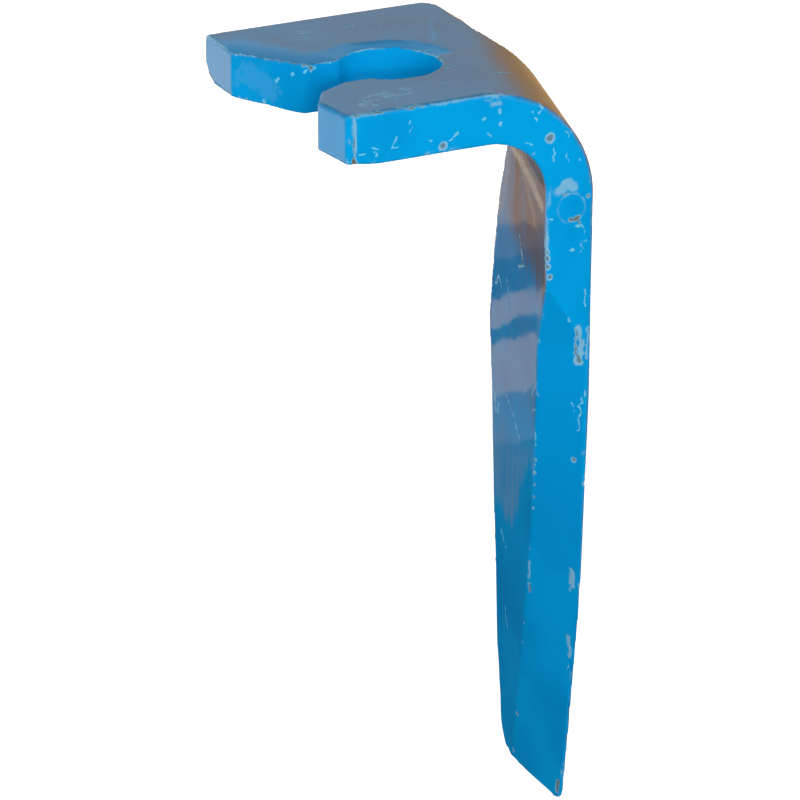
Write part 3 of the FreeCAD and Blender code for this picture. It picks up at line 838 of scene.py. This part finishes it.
for (line, half), (_, _, grey, chalky) in zip(film_lines, FILM_RUNS):
    away = distance_to(points, line, (half * 2) * MM) / MM
    covered = inner_face * (1 - ramp(away + half * 0.5 * down_streaks, half * 0.5, half * 1.5))
    dust_and_shade = np.maximum(dust_and_shade, grey * covered * (1 + 0.3 * down_streaks))
    clay = np.maximum(clay, chalky * covered * (1 + 0.3 * down_streaks))
print("brown points", int((brown > 0.3).sum()), "clay points", int((clay > 0.1).sum()))

# %% [markdown]
# The ends of the arms are dusty too, the far one more. The bevel isn't dirty; a last number paints its
# blue darker as painted shade, since it turns away from the light. Then every film is kept on the mesh.

# %% Dusty ends and the painted shade of the bevel
END_FACING = (0.80, 0.95)
END_FROM = (34, 40)
END_DUST = 0.07
END_DUST_FAR = 0.13
END_FAR_SIDE = (0, 30)
BEVEL_FACING_IN = (0.30, 0.55)
BEVEL_FACING_NEAR = (0.22, 0.45)
BEVEL_TOP = (74, 84)

end_faces = ramp(inward, *END_FACING) * ramp(-x, *END_FROM)
end_dust = END_DUST + END_DUST_FAR * ramp(y, *END_FAR_SIDE)
dust_and_shade = np.maximum(dust_and_shade, end_dust * end_faces * (1 + 0.6 * cloud_small))
# Painted shade: where the bevel's blue is painted darker.
bevel = ramp(inward, *BEVEL_FACING_IN) * ramp(-normals[:, 1], *BEVEL_FACING_NEAR) * ramp(-z, *BEVEL_TOP)
wiped_top = wiped * ramp(up, *FACING_UP)
films = (("dust_and_shade", dust_and_shade), ("brown", brown), ("clay", clay), ("wiped", wiped_top), ("bevel_shade", bevel))
for name, film in films:
    store(forging.data, name, np.clip(film, 0, 1))
print("deeper blue points", int((bevel > 0.5).sum()))

# %% [markdown]
# A forged bar is never quite flat. Long shallow waves come from the hammer and the dies, and fine
# scale pits it under the paint. We move each point along its normal by a sum of noises and by the
# depth of its marks, and only inwards on average, so that the tine keeps to its real size. The head also
# rolls off towards the keyhole's far rim, and the foot's lower edge is worn to a slight arc.

# %% Forged waves and dents
WAVES = [  # size, depth and seed
    (45 * MM, 0.14 * MM, 1.0),
    (18 * MM, 0.06 * MM, 2.0),
    (6 * MM, 0.018 * MM, 3.0),
]
INWARD = 0.6
ROLL_DEPTH = 0.90 * MM
ROLL_WIDTH = 11.0
ROLL_CURVE = 1.3
FOOT_ARC_SHARE = 0.35
FOOT_ARC_MIDDLE = -9.0
FOOT_ARC_HALF = 21.0
FOOT_ARC_HEIGHT = 5 * MM
FOOT_SPAN = (270, 299)

shift = sum(depth * (smooth_noise(points, size, seed) - INWARD) for size, depth, seed in WAVES)
rolled = wiped_top * (y > 0) * np.clip(1 - rim_gap / ROLL_WIDTH, 0, 1) ** ROLL_CURVE
shift = shift - dent * MM - ROLL_DEPTH * rolled
points = points + normals * shift[:, None]
bulge = np.clip(1 - ((y - FOOT_ARC_MIDDLE) / FOOT_ARC_HALF) ** 2, 0, 1)
above_foot = np.clip(points[:, 2] - cad_box[0][2], 0, FOOT_ARC_HEIGHT)
points[:, 2] -= FOOT_ARC_SHARE * above_foot * bulge * ramp(-z, *FOOT_SPAN)
forging.data.vertices.foreach_set("co", points.ravel())
forging.data.update()
forging.data.polygons.foreach_set("use_smooth", [True] * len(forging.data.polygons))
forging.data.calc_loop_triangles()
print("waves from", round(shift.min() / MM, 3), "to", round(shift.max() / MM, 3), "mm")
print("triangles", len(forging.data.loop_triangles))

# %% [markdown]
# The finish is a glossy blue enamel sprayed over the forging. One Principled shader carries the clean
# paint, and the numbers kept at each point lead it to rubbed, pale paint, to dirt, to painted shade and
# painted reflection, and to bare steel that has started to rust. These are the colours on its way.

# %% Colours of the paint, the dirt and the painted shade
PAINT_BLUE = (0.0, 0.34, 0.74, 1.0)
PAINT_DEEP_AND_SHADE = (0.0, 0.28, 0.64, 1.0)
PALE_BLUE = (0.20, 0.47, 0.66, 1.0)
CHIP_PALE = (0.13, 0.50, 0.72, 1.0)
DUST_AND_SHADE_GREY = (0.10, 0.085, 0.075, 1.0)
BROWN_DIRT_AND_PAINTED_LIGHT = (0.19, 0.11, 0.065, 1.0)
CLAY_GREY = (0.46, 0.43, 0.39, 1.0)
PRIMER_GREY = (0.11, 0.23, 0.29, 1.0)
RUST_BROWN = (0.15, 0.10, 0.055, 1.0)
print("paint", PAINT_BLUE[:3])

# %% [markdown]
# A material is a net of nodes. Helpers keep it readable: each makes one node, links what it is given and
# returns the socket that the next one reads. The noises run in the object's own space, so the pattern
# stays on the steel wherever the tine goes.

# %% Helpers for the nodes
enamel = bpy.data.materials.new("blue_enamel")
enamel.use_nodes = True
nodes, links = enamel.node_tree.nodes, enamel.node_tree.links
shader = nodes["Principled BSDF"]
place = nodes.new("ShaderNodeTexCoord").outputs["Object"]


def noise_node(scale, detail):
    """A noise over the object's own space, scale being lumps for each metre."""
    node = nodes.new("ShaderNodeTexNoise")
    node.inputs["Scale"].default_value = scale
    node.inputs["Detail"].default_value = detail
    links.new(place, node.inputs["Vector"])
    return node.outputs["Fac"]


def kept_number(name):
    """The number kept at each point under this name."""
    node = nodes.new("ShaderNodeAttribute")
    node.attribute_name = name
    return node.outputs["Fac"]


def combined(kind, first, second):
    """Two sockets or numbers brought together by a Math node of this kind."""
    node = nodes.new("ShaderNodeMath")
    node.operation = kind
    for socket, value in zip(node.inputs, (first, second)):
        if isinstance(value, (int, float)):
            socket.default_value = value
        else:
            links.new(value, socket)
    return node.outputs[0]


def between(value, low, high, first=0.0, last=1.0):
    """The value carried from the span low to high onto the span first to last, smoothly."""
    node = nodes.new("ShaderNodeMapRange")
    node.interpolation_type = "SMOOTHSTEP"
    node.inputs["From Min"].default_value = low
    node.inputs["From Max"].default_value = high
    node.inputs["To Min"].default_value = first
    node.inputs["To Max"].default_value = last
    links.new(value, node.inputs["Value"])
    return node.outputs["Result"]


def mixed(share, first, second):
    """A colour between two, each a socket or a plain colour."""
    node = nodes.new("ShaderNodeMix")
    node.data_type = "RGBA"
    links.new(share, node.inputs["Factor"])
    for socket, colour in ((node.inputs[6], first), (node.inputs[7], second)):
        if isinstance(colour, tuple):
            socket.default_value = colour
        else:
            links.new(colour, socket)
    return node.outputs[2]


# %% [markdown]
# A fine noise breaks each mark up once more, below the size of the mesh: it is added to the kept number,
# and a steep step then cuts a ragged border. Rust comes only well inside the bare spots.

# %% Where the paint is rubbed, scratched or gone
BREAK_UP = 1.1
RUBBED_STEP = (0.04, 0.92)
SCRATCHED_STEP = (0.40, 0.75)
BARE_STEP = (0.42, 0.62)
RUSTY_STEP = (0.78, 0.95)
SPECKLE_SPAN = (0.78, 1.0)

broken = combined("MULTIPLY", combined("SUBTRACT", noise_node(1500.0, 2.0), 0.5), BREAK_UP)
speckle = between(noise_node(900.0, 3.0), 0.35, 0.62, *SPECKLE_SPAN)
rubbed_share = combined("MULTIPLY", between(kept_number("rubbed"), *RUBBED_STEP), speckle)
scratched_share = between(combined("ADD", kept_number("scratched"), broken), *SCRATCHED_STEP)
bare_share = between(combined("ADD", kept_number("bare"), broken), *BARE_STEP)
rust_spots = between(noise_node(420.0, 3.0), 0.46, 0.70)
rusty = combined("MULTIPLY", rust_spots, between(kept_number("bare"), *RUSTY_STEP))
print("nodes so far", len(nodes))

# %% [markdown]
# The colours are laid over each other in the order in which they came onto the steel: the paint with its
# deeper clouds and the bevel's painted shade, the films of dirt with painted shade and reflection among
# them, and then what rubbed, scratched and knocked through all of them.

# %% Colour
MOTTLE_SPAN = (0.88, 1.10)

# The deeper blue also carries the bevel's painted shade.
cloud = combined("MAXIMUM", between(noise_node(26.0, 3.0), 0.35, 0.70), kept_number("bevel_shade"))
mottle = between(noise_node(520.0, 4.0), 0.30, 0.70, *MOTTLE_SPAN)
colour = mixed(cloud, PAINT_BLUE, PAINT_DEEP_AND_SHADE)
# Grey for dust, and for the painted shade and reflection on top of the head.
colour = mixed(combined("MULTIPLY", kept_number("dust_and_shade"), mottle), colour, DUST_AND_SHADE_GREY)
# Brown: dirt on the inner face, painted reflection over the bend, painted shade beside the leading edge.
colour = mixed(kept_number("brown"), colour, BROWN_DIRT_AND_PAINTED_LIGHT)
colour = mixed(kept_number("clay"), colour, CLAY_GREY)
colour = mixed(rubbed_share, colour, PALE_BLUE)
colour = mixed(scratched_share, colour, CHIP_PALE)
colour = mixed(bare_share, colour, mixed(rusty, PRIMER_GREY, RUST_BROWN))
links.new(colour, shader.inputs["Base Color"])
print("nodes with the colours", len(nodes))

# %% [markdown]
# Clean enamel is almost a mirror. Filmed and wiped places are a little duller, rubbed and bare ones are
# matt, and a fine grain of the scale below keeps the reflections from being perfect.

# %% Gloss and grain
GLOSS_SPAN = (0.035, 0.065)
FILM_DULLS = 0.14
WEAR_DULLS = 0.5
GRAIN_STRENGTH = 0.25
GRAIN_DEPTH = 0.02 * MM

dull = combined("MAXIMUM", combined("MAXIMUM", rubbed_share, scratched_share), bare_share)
gloss = between(noise_node(60.0, 4.0), 0.3, 0.7, *GLOSS_SPAN)
filmed = combined("MULTIPLY", combined("ADD", kept_number("dust_and_shade"), kept_number("clay")), FILM_DULLS)
wiped_dull = combined("MULTIPLY", kept_number("wiped"), FILM_DULLS)
gloss = combined("ADD", gloss, combined("MAXIMUM", filmed, wiped_dull))
roughness = combined("MAXIMUM", gloss, combined("MULTIPLY", dull, WEAR_DULLS))
links.new(roughness, shader.inputs["Roughness"])

grain = nodes.new("ShaderNodeBump")
grain.inputs["Strength"].default_value = GRAIN_STRENGTH
grain.inputs["Distance"].default_value = GRAIN_DEPTH
links.new(noise_node(700.0, 3.0), grain.inputs["Height"])
links.new(grain.outputs["Normal"], shader.inputs["Normal"])
forging.data.materials.clear()
forging.data.materials.append(enamel)
print("enamel of", len(nodes), "nodes")

# %% [markdown]
# The skin now rides on the root body and takes the place of the plain CAD tine in the picture.

# %% Tie the skin to the frame
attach(forging, "root")
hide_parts("tine")
print(forging.name, "stands in for the CAD tine")

# %% [markdown]
# The photograph looks down on the tine from its front left, through a long lens. The camera was worked
# out from the head's own corners: we set its place, its three axes and the lens directly.

# %% Camera
SIGHT_FROM = Vector((-0.64966, -1.29673, 0.47142))
SIGHT_RIGHT = Vector((0.8929, -0.4503, 0.0)).normalized()
SIGHT_AHEAD = Vector((0.4155, 0.8238, -0.3856)).normalized()
SIGHT_UP = SIGHT_RIGHT.cross(SIGHT_AHEAD).normalized()
LENS_MM = 185.83
SENSOR_MM = 36.0
FARTHEST = 20.0

lens = bpy.data.cameras.new("camera")
lens.lens = LENS_MM
lens.sensor_width = SENSOR_MM
lens.clip_end = FARTHEST
camera = bpy.data.objects.new("camera", lens)
turned = Matrix((SIGHT_RIGHT, SIGHT_UP, -SIGHT_AHEAD)).transposed().to_4x4()
camera.matrix_world = Matrix.Translation(SIGHT_FROM) @ turned
bpy.context.scene.collection.objects.link(camera)
bpy.context.scene.camera = camera
bpy.context.scene.view_settings.view_transform = "Standard"
print("lens", LENS_MM, "mm")

# %% [markdown]
# The floor is a white sweep to the camera, so it glows a little for camera rays. To the light it is only
# a pale matt board, so that it keeps the shadow of the tine and throws no extra light on it.

# %% Floor
FLOOR_DROP = 0.06
FLOOR_HALF = 3.0
FLOOR_PALE = (0.85, 0.85, 0.85, 1.0)
FLOOR_ROUGH = 0.9
FLOOR_GLOW = 0.72
FLOOR_CORNERS = ((-1, -1), (1, -1), (1, 1), (-1, 1))

floor_level = cad_box[0][2] - FLOOR_DROP
floor_mesh = bpy.data.meshes.new("floor")
floor_points = [(x * FLOOR_HALF, y * FLOOR_HALF, floor_level) for x, y in FLOOR_CORNERS]
floor_mesh.from_pydata(floor_points, [], [(0, 1, 2, 3)])
floor = bpy.data.objects.new("floor", floor_mesh)
bpy.context.scene.collection.objects.link(floor)

pale = bpy.data.materials.new("pale_floor")
pale.use_nodes = True
nodes, links = pale.node_tree.nodes, pale.node_tree.links
matte = nodes["Principled BSDF"]
matte.inputs["Base Color"].default_value = FLOOR_PALE
matte.inputs["Roughness"].default_value = FLOOR_ROUGH
glow = nodes.new("ShaderNodeEmission")
glow.inputs["Strength"].default_value = FLOOR_GLOW
lit = nodes.new("ShaderNodeAddShader")
links.new(matte.outputs[0], lit.inputs[0])
links.new(glow.outputs[0], lit.inputs[1])
floor_mesh.materials.append(pale)
print("floor at", round(floor_level, 3))

# %% [markdown]
# Glossy paint mirrors what stands around it, and the bands on the blade tell us what that was: a bench
# of brown boards behind the tine, with dark gaps between them. We give the floor those boards for glossy
# rays only, as a colour ramp over the distance from us, a little slanted. Far to the left the floor is
# bright, which the ends of the arms mirror.

# %% Boards for the mirror
DARK = (0.012, 0.014, 0.018, 1.0)
BOARD = (0.56, 0.34, 0.15, 1.0)
BOARD_DIM = (0.16, 0.11, 0.07, 1.0)
BRIGHT = (1.25, 1.25, 1.25, 1.0)
BOARD_SLANT = 0.32
BOARD_SLANT_FROM = 0.037
BOARD_EDGES = [(0.0, DARK), (0.445, BOARD_DIM), (0.505, BOARD), (0.582, DARK), (0.604, BOARD),
               (0.640, DARK), (0.700, BOARD_DIM), (0.755, BOARD)]
BRIGHT_LEFT_OF = (-0.26, -0.20)
BRIGHT_BEHIND = (0.35, 0.42)

place = nodes.new("ShaderNodeTexCoord").outputs["Object"]
parts = nodes.new("ShaderNodeSeparateXYZ")
links.new(place, parts.inputs[0])
boards = nodes.new("ShaderNodeValToRGB")
boards.color_ramp.interpolation = "CONSTANT"
stops = boards.color_ramp.elements
stops[0].position, stops[0].color = BOARD_EDGES[0]
stops[1].position, stops[1].color = BOARD_EDGES[1]
for edge, colour in BOARD_EDGES[2:]:
    stops.new(edge).color = colour
slanted = combined("MULTIPLY", combined("SUBTRACT", parts.outputs["X"], BOARD_SLANT_FROM), BOARD_SLANT)
links.new(combined("ADD", parts.outputs["Y"], slanted), boards.inputs[0])
to_left = between(parts.outputs["X"], *BRIGHT_LEFT_OF, 1.0, 0.0)
to_back = between(parts.outputs["Y"], *BRIGHT_BEHIND)
bench_colour = mixed(combined("MULTIPLY", to_left, to_back), boards.outputs[0], BRIGHT)
bench = nodes.new("ShaderNodeEmission")
links.new(bench_colour, bench.inputs["Color"])
print("boards", len(BOARD_EDGES))

# %% [markdown]
# Cycles tells a material what kind of ray has met it. So one surface can be a plain pale board to the
# light, a white sweep to the camera and a bench of boards to the paint's mirror. The world needs the
# same switch, so it is a function.

# %% One surface, three kinds of ray


def chosen_by_ray(plain, for_camera, for_gloss, output):
    """Show one shader to the camera, one to glossy rays and the plain one to all other rays."""
    light_path = nodes.new("ShaderNodeLightPath")
    camera_mix = nodes.new("ShaderNodeMixShader")
    links.new(light_path.outputs["Is Camera Ray"], camera_mix.inputs[0])
    links.new(plain, camera_mix.inputs[1])
    links.new(for_camera, camera_mix.inputs[2])
    glossy_mix = nodes.new("ShaderNodeMixShader")
    links.new(light_path.outputs["Is Glossy Ray"], glossy_mix.inputs[0])
    links.new(camera_mix.outputs[0], glossy_mix.inputs[1])
    links.new(for_gloss, glossy_mix.inputs[2])
    links.new(glossy_mix.outputs[0], output)


floor_surface = nodes["Material Output"].inputs["Surface"]
chosen_by_ray(matte.outputs[0], lit.outputs[0], bench.outputs[0], floor_surface)
print("floor material of", len(nodes), "nodes")

# %% [markdown]
# The world is white to the camera and a weak even light on the object. For glossy rays it is pale ahead
# of us as far up as a bank of cloud, and brown towards the right along the ground. Overhead and behind
# us it is dark, because the photographer stood in the shade and the paint there mirrors nothing bright.

# %% World
AMBIENT = 0.15
WHITE = (1.0, 1.0, 1.0, 1.0)
SKY_PALE = (0.56, 0.56, 0.57, 1.0)
SKY_BROWN = (0.55, 0.33, 0.12, 1.0)
SKY_DARK = (0.03, 0.035, 0.045, 1.0)
PALE_AHEAD_OF = (-0.35, 0.25)
CLOUD_EDGE = (0.42, 0.52)
ABOVE_CLOUD = 0.15
BROWN_UP_TO = (0.08, 0.33)
BROWN_RIGHT_OF = (0.30, 0.54)

world = bpy.data.worlds.new("studio")
bpy.context.scene.world = world
world.use_nodes = True
nodes, links = world.node_tree.nodes, world.node_tree.links
ambient = nodes["Background"]
ambient.inputs["Color"].default_value = WHITE
ambient.inputs["Strength"].default_value = AMBIENT
backdrop = nodes.new("ShaderNodeBackground")
backdrop.inputs["Color"].default_value = WHITE
heading = nodes.new("ShaderNodeSeparateXYZ")
links.new(nodes.new("ShaderNodeTexCoord").outputs["Generated"], heading.inputs[0])
ahead = between(heading.outputs["Y"], *PALE_AHEAD_OF)
below_cloud = between(heading.outputs["Z"], *CLOUD_EDGE, 1.0, ABOVE_CLOUD)
low = between(heading.outputs["Z"], *BROWN_UP_TO, 1.0, 0.0)
rightward = between(heading.outputs["X"], *BROWN_RIGHT_OF)
sky_colour = mixed(combined("MULTIPLY", ahead, below_cloud), SKY_DARK, SKY_PALE)
sky_colour = mixed(combined("MULTIPLY", low, rightward), sky_colour, SKY_BROWN)
mirrored = nodes.new("ShaderNodeBackground")
links.new(sky_colour, mirrored.inputs["Color"])
sky_surface = nodes["World Output"].inputs["Surface"]
chosen_by_ray(ambient.outputs[0], backdrop.outputs[0], mirrored.outputs[0], sky_surface)
print("ambient light", AMBIENT)

# %% [markdown]
# Four large soft lamps light the tine at a plain level. The key stands high beside the camera and gives
# the near side and the walls of the keyhole their full colour. Weaker fills reach the inner face and
# the ends, the head's top, and the back for whoever walks round the part. A small spot lifts the ends
# of the head, where the photograph is brightest. None of them shows in the paint as a bright square.

# %% Soft lamps
MIDDLE = (0.02, 0.0, -0.13)
LAMPS = [  # name, place, side in metres and power in watts
    ("key", (-0.30, -2.00, 0.75), 1.2, 31.0),
    ("left_fill", (-2.2, 0.5, 0.0), 1.2, 16.5),
    ("back_fill", (-0.1, 2.3, 0.3), 1.4, 24.0),
    ("top_fill", (0.3, 0.2, 2.1), 1.4, 6.0),
]
HEAD_PLACE = (-0.7, -1.4, 0.35)
HEAD_AIM = (-0.035, 0.0, -0.008)
HEAD_POWER = 115.0
HEAD_CONE = math.radians(6.0)
HEAD_SOFT = 0.15


def put_lamp(data, place, aim):
    """Hang a lamp at its place, turned to look at what it is aimed at and hidden from glossy rays."""
    lamp = bpy.data.objects.new(data.name, data)
    lamp.visible_glossy = False
    turn = (Vector(aim) - Vector(place)).to_track_quat("-Z", "Y")
    lamp.matrix_world = Matrix.Translation(Vector(place)) @ turn.to_matrix().to_4x4()
    bpy.context.scene.collection.objects.link(lamp)


for name, place, side, power in LAMPS:
    soft = bpy.data.lights.new(name, "AREA")
    soft.size = side
    soft.energy = power
    put_lamp(soft, place, MIDDLE)

spot = bpy.data.lights.new("head_fill", "SPOT")
spot.energy = HEAD_POWER
spot.spot_size = HEAD_CONE
spot.spot_blend = 1.0
spot.shadow_soft_size = HEAD_SOFT
put_lamp(spot, HEAD_PLACE, HEAD_AIM)
print("lamps", [lamp.name for lamp in bpy.data.lights])
